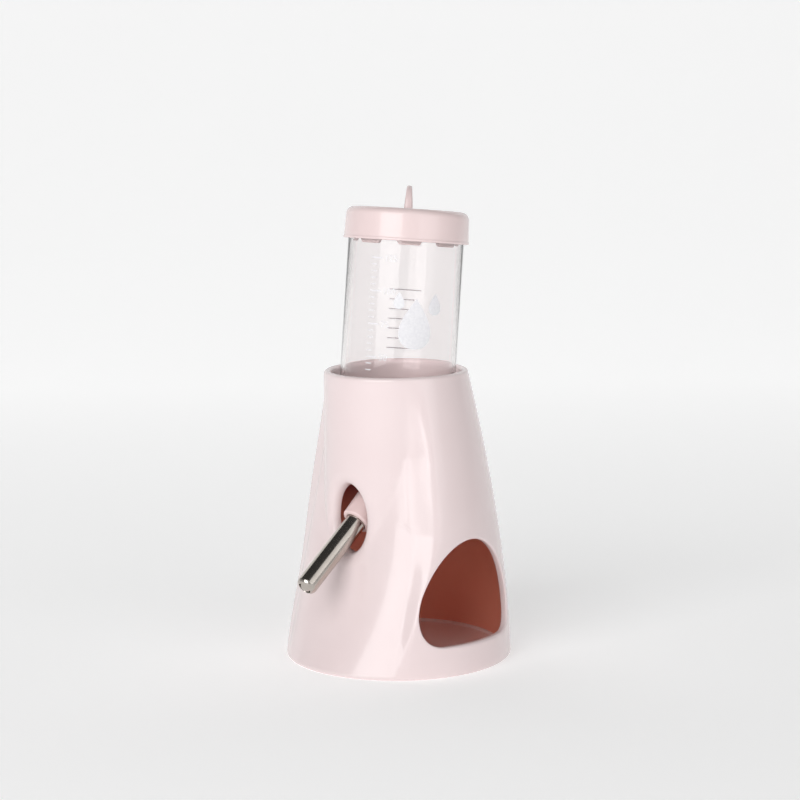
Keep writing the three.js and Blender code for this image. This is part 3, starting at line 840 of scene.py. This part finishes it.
def stand_rib(angle):
    """A web on the inside of the wall, with a rounded top edge for the collar to rest on."""
    turn = math.radians(angle)
    towards = math.cos(turn)
    inner_top = shelf_height(RIB_INNER * towards)
    outer_top = shelf_height(RIB_OUTER * towards)
    follow = float(bell_radius(outer_top - RIB_DROP) - bell_radius(outer_top))
    outline = rounded([
        (RIB_INNER, inner_top, RIB_CORNER),
        (RIB_INNER, inner_top - RIB_THICKNESS, RIB_CORNER),
        (RIB_OUTER + follow - WALL - RIB_SUNK, outer_top - RIB_DROP, RIB_CORNER),
        (RIB_OUTER + follow - RIB_SUNK, outer_top - RIB_DROP, RIB_ROOT_CORNER),
        (RIB_OUTER - RIB_SUNK, outer_top, RIB_ROOT_CORNER),
    ], 4)
    middle = np.mean(outline, axis=0)
    flat = 1 - 2 * RIB_BEVEL / RIB_THICKNESS  # share of the half thickness that the bevels leave
    loops = []
    for across, shrink in ((-1, RIB_BEVEL), (-flat, 0), (flat, 0), (1, RIB_BEVEL)):
        loops.append([(r + shrink * np.sign(middle[0] - r), h + shrink * np.sign(middle[1] - h),
                       across * RIB_THICKNESS / 2) for r, h in outline])
    outward = Vector((math.sin(turn), -math.cos(turn), 0))
    sideways = Vector((math.cos(turn), math.sin(turn), 0))
    points = [outward * r + sideways * w + Vector((0, 0, h)) for loop in loops for r, h, w in loop]
    rib = mesh_from(f"collar_rib_{angle}", points, capped_bands(len(loops), len(outline)))
    # the rib takes the inside plastic, with its painted shade and painted bounce light
    finish_piece(rib, "stand", [PINK_INSIDE_PAINTED_SHADE], "pink_plastic")


def floor_tray():
    """A shallow tray pressed up into the foot, with a rounded rim."""
    angles = np.arange(STAND_COLUMNS) * 360 / STAND_COLUMNS
    edge = inner_radius(TRAY_RIM_HEIGHT, angles) - TRAY_GAP
    section = rounded([
        (0.0, 0.0, 0.5),
        (0.0, TRAY_RIM_HEIGHT, 0.6),
        (TRAY_RIM_WALL, TRAY_RIM_HEIGHT, 0.6),
        (TRAY_RIM_WALL + TRAY_RIM_DRAFT, TRAY_FLOOR, 0.8),
        (TRAY_BAND, TRAY_FLOOR, 0),
        (TRAY_BAND, 0.0, 0),
    ])
    rim = [around(edge - inset, angles, height) for inset, height in section if inset < TRAY_BAND]
    over = [around((edge - TRAY_BAND) * share, angles, TRAY_FLOOR) for share in TRAY_RINGS]
    under = [around((edge - TRAY_BAND) * share, angles, 0.0) for share in TRAY_RINGS[::-1]]
    shell = Shell()
    shell.bands(rim + over + under + [rim[0]])
    tray = mesh_from("floor_disc", shell.points, shell.faces, weld=COARSE_WELD)
    # the tray's plastic carries painted light on the cavity floor
    finish_piece(tray, "tray", [TRAY_PINK_PAINTED_LIGHT], "pink_plastic", "floor_tray")


# ======== bottle

def bottle_wall():
    """A straight tube with a small shoulder and a neck."""
    inner = BOTTLE_RADIUS - BOTTLE_WALL
    neck_inner = NECK_RADIUS - NECK_WALL
    low = NECK_TOP + SHOULDER_RISE
    profile = rounded([
        (neck_inner, MOUTH, 0.7),
        (NECK_RADIUS, MOUTH, 0.7),
        (NECK_RADIUS, NECK_TOP, 0.5),
        (BOTTLE_RADIUS - SHOULDER_STEP, low, 1.0),
        (BOTTLE_RADIUS, SHOULDER_TOP, 2.0),
        (BOTTLE_RADIUS, BOTTLE_TOP, 0.6),
        (inner, BOTTLE_TOP, 0.6),
        (inner, SHOULDER_TOP + 1, 2.0),
        (inner - SHOULDER_STEP, low + BOTTLE_WALL, 1.0),
        (neck_inner, NECK_TOP + BOTTLE_WALL, 0.5),
    ])
    wall = turned("bottle_wall", profile, BOTTLE_PLACE, 192)
    finish_piece(wall, "bottle", [CLEAR], "clear_plastic", "bottle_tube")


def bottle_cap():
    """A screw cap: plate, skirt with a small lip, and an inner plug with lugs on its lower edge."""
    ceiling = CAP_TOP - CAP_PLATE
    profile = to_axis([
        (PLUG_RADIUS - PLUG_WALL, ceiling, 0.6),
        (PLUG_RADIUS - PLUG_WALL, PLUG_BOTTOM, 0.4),
        (PLUG_RADIUS, PLUG_BOTTOM, 0.4),
        (PLUG_RADIUS, ceiling, 0.6),
        (CAP_SKIRT_INNER, ceiling, 0.4),
        (CAP_SKIRT_INNER, SKIRT_BOTTOM, 0.35),
        (CAP_RADIUS + CAP_LIP, SKIRT_BOTTOM, 0.45),
        (CAP_RADIUS + CAP_LIP, SKIRT_BOTTOM + CAP_LIP_HEIGHT, 0.4),
        (CAP_RADIUS, SKIRT_BOTTOM + CAP_LIP_END, 0.6),
        (CAP_TOP_RADIUS, CAP_TOP - CAP_CROWN, CAP_CORNER),
    ], ceiling, CAP_TOP, 8)

    def lugged(angle, radius, height):
        """The plug's lower edge stands lower at each lug."""
        if height > PLUG_BOTTOM + 0.6 or radius > PLUG_RADIUS + 0.01:
            return radius, height
        phase = (angle - LUG_TURN) * LUGS / TAU
        aside = abs(phase - round(phase)) * TAU / LUGS
        raised = float(smoothstep(LUG_HALF, LUG_HALF + LUG_EDGE, aside))
        return radius, height + LUG_RISE * raised

    cap = turned("screw_cap", profile, BOTTLE_PLACE, 288, lugged)
    for side in (-1, 1):
        combine(cap, foot_pocket(side), "DIFFERENCE")
    finish_piece(cap, "cap", [CAP_PINK], "pink_plastic", "bottle_cap")


def block(low, high, place):
    """A box to cut with."""
    corners = [(x, y, z) for z in (low[2], high[2]) for y in (low[1], high[1]) for x in (low[0], high[0])]
    faces = [(0, 2, 3, 1), (4, 5, 7, 6), (0, 1, 5, 4), (2, 6, 7, 3), (0, 4, 6, 2), (1, 3, 7, 5)]
    return mesh_from("block", corners, faces, place)


def foot_pocket(side):
    """The pocket in the cap's plate for one foot of the loop."""
    low, high = sorted((side * (LOOP_HOLE_HALF - FIT), side * (LOOP_HALF_WIDTH + FIT)))
    half = LOOP_THICKNESS / 2 + FIT
    return block((low, -half, CAP_TOP - LOOP_FOOT - FIT), (high, half, CAP_TOP + 1), LOOP_PLACE)


def hanging_loop():
    """An arch of soft-cornered rectangular section that thins towards its crown."""
    middle_half = (LOOP_HALF_WIDTH + LOOP_HOLE_HALF) / 2
    middle_height = (LOOP_HEIGHT + LOOP_HOLE_HEIGHT) / 2
    path = [(middle_half, -LOOP_FOOT, 0.0)]
    path += [(middle_half * math.cos(t), middle_height * math.sin(t), t)
             for t in np.linspace(0, math.pi, LOOP_STEPS)]
    path += [(-middle_half, -LOOP_FOOT, math.pi)]
    power = LOOP_CORNER_POWER
    points = []
    for x, z, t in path:
        outward = Vector((math.cos(t) * middle_height, 0, math.sin(t) * middle_half)).normalized()
        half_deep = lerp(LOOP_HALF_WIDTH - LOOP_HOLE_HALF, LOOP_HEIGHT - LOOP_HOLE_HEIGHT, math.sin(t)) / 2
        half_wide = LOOP_THICKNESS / 2 * (1 - LOOP_THINNING * math.sin(t))
        for k in range(LOOP_SIDES):
            angle = TAU * k / LOOP_SIDES
            c, s = math.cos(angle), math.sin(angle)
            reach = (abs(c) ** power + abs(s) ** power) ** (-1 / power)
            sideways = Vector((0, half_wide * reach * s, 0))
            points.append(Vector((x, 0, z)) + outward * (half_deep * reach * c) + sideways)
    place = LOOP_PLACE @ Matrix.Translation((0, 0, CAP_TOP))
    arch = mesh_from("loop_arch", points, capped_bands(len(path), LOOP_SIDES), place)
    finish_piece(arch, "cap", [CAP_PINK], "pink_plastic", "hanging_loop")


def soft_ring(name, radii, heights, place, body, material, slot, node, fillet=0.3, segments=128):
    """A flat ring or a sleeve with rounded edges."""
    inner, outer = radii
    low, high = heights
    profile = rounded([(r, h, fillet) for r, h in ((inner, low), (outer, low), (outer, high), (inner, high))])
    finish_piece(turned(name, profile, place, segments), body, [material], slot, node)


# ======== nozzle

def nozzle_collar():
    """Screw collar with a funnel below it and the ferrule that grips the spout, all one moulding."""
    def gripped(angle, radius, height):
        """Fine grip ribs round the collar."""
        if radius > COLLAR_RADIUS - 0.01 and COLLAR_BOTTOM + GRIP_FROM < height < COLLAR_TOP - GRIP_FROM:
            return radius - GRIP_DEPTH * (0.5 - 0.5 * math.cos(GRIP_RIBS * angle)), height
        return radius, height

    outside = turned("nozzle_moulding", to_axis([
        (FUNNEL_LOW_RADIUS, FUNNEL_LOW, 0.8),
        (FUNNEL_TOP_RADIUS + 1, COLLAR_BOTTOM, 0.8),
        (COLLAR_RADIUS, COLLAR_BOTTOM, 0.8),
        (COLLAR_RADIUS, COLLAR_BOTTOM + GRIP_MARGIN, 0),
        (COLLAR_RADIUS, COLLAR_TOP - GRIP_MARGIN, 0),
        (COLLAR_RADIUS, COLLAR_TOP, 0.8),
    ], FUNNEL_LOW, COLLAR_TOP), BOTTLE_PLACE, 288, gripped)
    floor = FUNNEL_LOW + FUNNEL_FLOOR
    cavity = turned("cavity", to_axis([
        (FUNNEL_FLOOR_RADIUS, floor, 0.8),
        (FUNNEL_TOP_RADIUS, COLLAR_FLOOR, 0.6),
        (COLLAR_BORE, COLLAR_FLOOR, 0.5),
        (COLLAR_BORE, COLLAR_TOP + 1, 0),
    ], floor, COLLAR_TOP + 1), BOTTLE_PLACE, 144)
    ferrule = turned("ferrule", to_axis([
        (ELBOW_RADIUS, ELBOW_START, 0),
        (ELBOW_END_RADIUS, ELBOW_END, ELBOW_WAIST),
        (FERRULE_START_RADIUS, FERRULE_START, FERRULE_WAIST),
        (FERRULE_END_RADIUS, FERRULE_END, FERRULE_CORNER),
    ], ELBOW_START, FERRULE_END, 6), SPOUT_PLACE, 96)
    bore = turned("bore", [
        (0.0, 2 * ELBOW_START),
        (SOCKET_RADIUS, 2 * ELBOW_START),
        (SOCKET_RADIUS, SOCKET_LEDGE),
        (FERRULE_BORE, SOCKET_LEDGE),
        (FERRULE_BORE, FERRULE_END + 1),
        (0.0, FERRULE_END + 1),
    ], SPOUT_PLACE, 96)
    combine(outside, ferrule, "UNION")
    combine(outside, cavity, "DIFFERENCE")
    combine(outside, bore, "DIFFERENCE")
    finish_piece(outside, "nozzle", [NOZZLE_PINK], "pink_plastic", "nozzle_collar")


def spout_tube():
    """A drawn steel tube: a flange at its seat, and a spun-in round nose that holds the ball."""
    bore = SPOUT_RADIUS - SPOUT_WALL
    round_centre = SPOUT_RADIUS - SPOUT_TIP_ROUND
    round_at = SPOUT_END - SPOUT_TIP_ROUND

    def arc(radius, turn):
        return round_centre + radius * math.cos(turn), round_at + radius * math.sin(turn)

    turns = np.linspace(0, TIP_CLOSES_TO, 13)
    profile = rounded([
        (bore, SPOUT_START, 0.15),
        (FLANGE_RADIUS, SPOUT_START, 0.4),
        (FLANGE_RADIUS, SPOUT_START + FLANGE_THICKNESS, 0.4),
        (SPOUT_RADIUS, SPOUT_START + FLANGE_THICKNESS, 0.4),
        (SPOUT_RADIUS, round_at, 0),
        (bore, round_at, 0),
    ])[:-2]
    profile += [arc(SPOUT_TIP_ROUND, t) for t in turns]
    half_wall = SPOUT_WALL / 2
    for a in np.linspace(0, math.pi, 5)[1:-1]:  # the lip round the tip's opening
        lip_turn = TIP_CLOSES_TO + TIP_LIP_GAP + TIP_LIP_REACH * math.sin(a)
        profile.append(arc(SPOUT_TIP_ROUND - half_wall + half_wall * math.cos(a), lip_turn))
    profile += [arc(SPOUT_TIP_ROUND - SPOUT_WALL, t) for t in turns[::-1]]
    tube = turned("drinking_tube", profile, SPOUT_PLACE, 144)
    finish_piece(tube, "nozzle", [STEEL], "polished_steel", "spout_tube")


def ball(name, distance, body, node):
    """A valve ball at a distance along the spout, with its poles on the axis."""
    turns = np.linspace(-math.pi / 2, math.pi / 2, 37)
    profile = [(BALL_RADIUS * math.cos(t), distance + BALL_RADIUS * math.sin(t)) for t in turns[1:-1]]
    profile = [(0.0, distance - BALL_RADIUS)] + profile + [(0.0, distance + BALL_RADIUS)]
    finish_piece(turned(name, profile, SPOUT_PLACE, 72), body, [STEEL], "polished_steel", node)


# ======== print on the bottle

PRINT_TURN = -math.pi / 4  # where the print's middle faces, round the bottle's axis
BACK_TURN = 3 * math.pi / 4
INK_LIFT = 0.05
INK_THICKNESS = 0.04
SCALE_ACROSS = -15.0
SCALE_SHORT = 2.6
SCALE_LONG = 5.0
SCALE_STROKE = 0.45
SCALE_LOWEST = 37.2  # height of the 40 ml mark, with the bottle standing on its collar
SCALE_STEP = 2.833  # height of 5 ml
SCALE_MARKS = 18
SCALE_LONG_STROKE = 1.3 * SCALE_STROKE
LABELS = (("50", 2), ("75", 7), ("100", 12), ("125", 17))  # and the mark that each stands at
LABEL_SIZE = 3.9
LABEL_GAP = 0.9
LABEL_DROP = 1.35
DROPS = ((6.0, 47.0, 15.0, 22.0), (14.6, 62.0, 6.4, 9.4), (-1.6, 64.0, 5.0, 7.4))  # across, low, wide, tall
DROP_FULLNESS = 1.3
DROP_POINT_POWER = 1.2
DROP_COLUMNS = 14
DROP_ROWS = 28
LINES = 7
LINES_ACROSS = -9.0
LINES_LOWEST = 44.0
LINES_STEP = 4.2
LINE_WIDE = 15.0
LINE_INDENT = 3.0  # of every other line
LINE_STROKE = 0.5


def on_bottle(across, height, out, facing=PRINT_TURN):
    """A point of the print: across is measured round the bottle from the print's middle."""
    angle = facing + across / BOTTLE_RADIUS
    radius = BOTTLE_RADIUS + INK_LIFT + out
    return radius * math.cos(angle), radius * math.sin(angle), height


def ink_patch(shape, columns, rows, facing=PRINT_TURN):
    """A thin closed patch of ink. shape(u, v) gives across and height for u and v from 0 to 1."""
    points = []
    for out in (0, INK_THICKNESS):
        for j in range(rows + 1):
            for i in range(columns + 1):
                points.append(on_bottle(*shape(i / columns, j / rows), out, facing))
    row = columns + 1
    layer = row * (rows + 1)
    faces = []
    for j in range(rows):
        for i in range(columns):
            a = j * row + i
            quad = (a, a + 1, a + row + 1, a + row)
            faces += [quad, tuple(layer + q for q in quad[::-1])]
    rim = list(range(row)) + [j * row + columns for j in range(1, rows + 1)]
    rim += [rows * row + i for i in range(columns - 1, -1, -1)] + [j * row for j in range(rows - 1, 0, -1)]
    for a, b in zip(rim, rim[1:] + rim[:1]):
        faces.append((a, b, b + layer, a + layer))
    return points, faces


def bar(across, height, wide, tall, facing=PRINT_TURN):
    """A level bar that follows the bottle's round in steps of about a millimetre."""
    columns = max(1, round(wide))
    return ink_patch(lambda u, v: (across + wide * u, height + tall * (v - 0.5)), columns, 1, facing)


def number(text, across, height, size):
    """A number from the built-in typeface, laid on the bottle."""
    curve = bpy.data.curves.new("number", "FONT")
    curve.body = text
    curve.size = size
    half = INK_THICKNESS / 2
    curve.extrude = half
    thing = add_object("number", curve)
    bpy.context.view_layer.update()
    mesh = thing.to_mesh()
    points = [on_bottle(across + v.co.x, height + v.co.y, half + v.co.z) for v in mesh.vertices]
    faces = [tuple(p.vertices) for p in mesh.polygons]
    thing.to_mesh_clear()
    bpy.data.objects.remove(thing)
    bpy.data.curves.remove(curve)
    return points, faces


def drop(across, low, wide, tall):
    """A plain water drop, round below and pointed above."""
    def shape(u, v):
        t = math.pi * v
        half = wide / 2 * DROP_FULLNESS * math.sin(t) * math.cos(t / 2) ** DROP_POINT_POWER
        return across + half * (2 * u - 1), low + tall * (1 - math.cos(t)) / 2
    return ink_patch(shape, DROP_COLUMNS, DROP_ROWS)


def printed(name, patches, material):
    """One piece of all patches in one ink."""
    points, faces = [], []
    for more, their in patches:
        faces += [tuple(len(points) + i for i in f) for f in their]
        points += more
    finish_piece(mesh_from(name, points, faces, BOTTLE_PLACE), "bottle", [material], "clear_plastic")


def bottle_print():
    """A plain scale with numbers and three drops in white, and faint grey lines on the far side."""
    labelled = [mark for _, mark in LABELS]
    white = []
    for k in range(SCALE_MARKS):
        wide, stroke = (SCALE_LONG, SCALE_LONG_STROKE) if k in labelled else (SCALE_SHORT, SCALE_STROKE)
        white.append(bar(SCALE_ACROSS, SCALE_LOWEST + SCALE_STEP * k, wide, stroke))
    for text, mark in LABELS:
        low = SCALE_LOWEST + SCALE_STEP * mark - LABEL_DROP
        white.append(number(text, SCALE_ACROSS + SCALE_LONG + LABEL_GAP, low, LABEL_SIZE))
    white += [drop(*sizes) for sizes in DROPS]
    printed("white_scale", white, WHITE_INK)
    grey = []
    for k in range(LINES):
        indent = LINE_INDENT * (k % 2)
        height = LINES_LOWEST + LINES_STEP * k
        grey.append(bar(LINES_ACROSS + indent, height, LINE_WIDE - indent, LINE_STROKE, BACK_TURN))
    printed("grey_lines", grey, GREY_INK)


# ======== stage and light

# metres, measured from the stand away from the camera
SWEEP_HALF = 4.0
SWEEP_NEAR = -3.0
SWEEP_BEND_AT = 0.9
SWEEP_BEND = 2.4
SWEEP_TALL = 4.0
GLOW_FROM = -0.1
GLOW_TO = 0.85
FLOOR_GLOW = 0.335
WALL_GLOW = 0.575
LIGHT_TARGET = Vector((0, 0, 0.09))


def studio_paper():
    """Pale paper that glows a little, more so further back."""
    nodes = Nodes("studio_paper")
    colour = nodes.mix(nodes.cloud(3, 2), (0.86, 0.86, 0.86, 1), (0.85, 0.85, 0.85, 1))
    nodes.link(colour, nodes.shader.inputs["Base Color"])
    nodes.set(Roughness=0.9, Specular_IOR_Level=0.1, Emission_Color=(1, 1, 1, 1))
    nodes.material.cycles.emission_sampling = "NONE"  # the glow is even, so no rays need to be aimed at it
    away = nodes.add("ShaderNodeVectorMath")
    away.operation = "DOT_PRODUCT"
    away.inputs[1].default_value = CAMERA_AHEAD
    glow = nodes.ramp(nodes.position(away).outputs["Value"], GLOW_FROM, GLOW_TO, FLOOR_GLOW, WALL_GLOW)
    nodes.link(glow, nodes.shader.inputs["Emission Strength"])
    return nodes.material


def studio():
    """A pale floor that curves up into a pale wall behind the object."""
    profile = [(SWEEP_NEAR, 0.0), (0.0, 0.0), (SWEEP_BEND_AT, 0.0)]
    for t in np.linspace(0, math.pi / 2, 13)[1:]:
        profile.append((SWEEP_BEND_AT + SWEEP_BEND * math.sin(t), SWEEP_BEND * (1 - math.cos(t))))
    profile.append((SWEEP_BEND_AT + SWEEP_BEND, SWEEP_TALL))
    points = [tuple(CAMERA_AHEAD * along + CAMERA_SIDE * side + Vector((0, 0, height)))
              for along, height in profile for side in (-SWEEP_HALF, SWEEP_HALF)]
    faces = [(2 * k, 2 * k + 1, 2 * k + 3, 2 * k + 2) for k in range(len(profile) - 1)]
    mesh = bpy.data.meshes.new("studio_sweep")
    mesh.from_pydata(points, [], faces)
    mesh.shade_smooth()
    mesh.materials.append(studio_paper())
    add_object("studio_sweep", mesh)


def softbox(name, azimuth, elevation, distance, width, height, power):
    """A soft light in metres and watts. azimuth is in degrees from the camera, positive to its right."""
    data = bpy.data.lights.new(name, "AREA")
    data.shape = "RECTANGLE"
    data.size = width
    data.size_y = height
    data.energy = power
    lamp = add_object(name, data)
    turn = CAMERA_AZIMUTH + math.radians(azimuth)
    lift = math.radians(elevation)
    away = Vector((math.sin(turn) * math.cos(lift), -math.cos(turn) * math.cos(lift), math.sin(lift)))
    facing = away.to_track_quat("Z", "Y").to_matrix().to_4x4()
    lamp.matrix_world = Matrix.Translation(LIGHT_TARGET + away * distance) @ facing


def light():
    """A soft key light and a weaker fill, under a sky that is brighter near the horizon."""
    world = bpy.data.worlds.new("studio_world")
    bpy.context.scene.world = world
    world.use_nodes = True
    tree = world.node_tree
    sky = tree.nodes["Background"]
    sky.inputs["Color"].default_value = (1, 1, 1, 1)
    place = tree.nodes.new("ShaderNodeTexCoord")
    split = tree.nodes.new("ShaderNodeSeparateXYZ")
    fade = tree.nodes.new("ShaderNodeMapRange")
    for socket, value in (("From Min", 0.15), ("From Max", 0.7), ("To Min", 0.5), ("To Max", 0.05)):
        fade.inputs[socket].default_value = value
    tree.links.new(place.outputs["Generated"], split.inputs["Vector"])
    tree.links.new(split.outputs["Z"], fade.inputs["Value"])
    tree.links.new(fade.outputs["Result"], sky.inputs["Strength"])
    softbox("key_light", azimuth=-30, elevation=26, distance=1.6, width=1.2, height=1.3, power=14.5)
    softbox("fill_light", azimuth=42, elevation=26, distance=1.6, width=1.1, height=1.3, power=4.2)
    bpy.context.scene.view_settings.view_transform = "Standard"


# ======== everything

def pieces():
    stand_shell()
    for angle in RIB_ANGLES:
        stand_rib(angle)
    floor_tray()
    bottle_wall()
    bottle_print()
    bottle_cap()
    hanging_loop()
    heights = (BOTTLE_TOP + FIT, CAP_TOP - CAP_PLATE - FIT)
    soft_ring("cap_seal", (GASKET_INNER, GASKET_OUTER), heights, BOTTLE_PLACE,
              "gasket", SILICONE, "pink_silicone", "cap_gasket", fillet=0.4)
    low = COLLAR_FLOOR + FIT
    soft_ring("neck_washer", (WASHER_INNER, COLLAR_BORE - FIT), (low, low + WASHER_THICKNESS), BOTTLE_PLACE,
              "washer", SILICONE, "pink_silicone", "collar_washer")
    nozzle_collar()
    spout_tube()
    low = SPOUT_START + FLANGE_THICKNESS + FIT
    soft_ring("tube_seal", (SPOUT_RADIUS + FIT, SEAL_RADIUS), (low, low + SEAL_LENGTH), SPOUT_PLACE,
              "nozzle", SILICONE, "pink_silicone", "spout_seal", fillet=0.4)
    stop_radius = SPOUT_RADIUS - SPOUT_WALL - FIT
    soft_ring("inner_stop", (STOP_HOLE, stop_radius), (STOP_AT, STOP_AT + STOP_THICKNESS), SPOUT_PLACE,
              "nozzle", STEEL, "polished_steel", "ball_stop", fillet=0.25, segments=72)
    ball("front_ball", TIP_BALL_AT, "lick_ball", "tip_ball")
    ball("rear_ball", TIP_BALL_AT - 2 * BALL_RADIUS - FIT, "second_ball", "upper_ball")


make_camera()
studio()
light()
pieces()
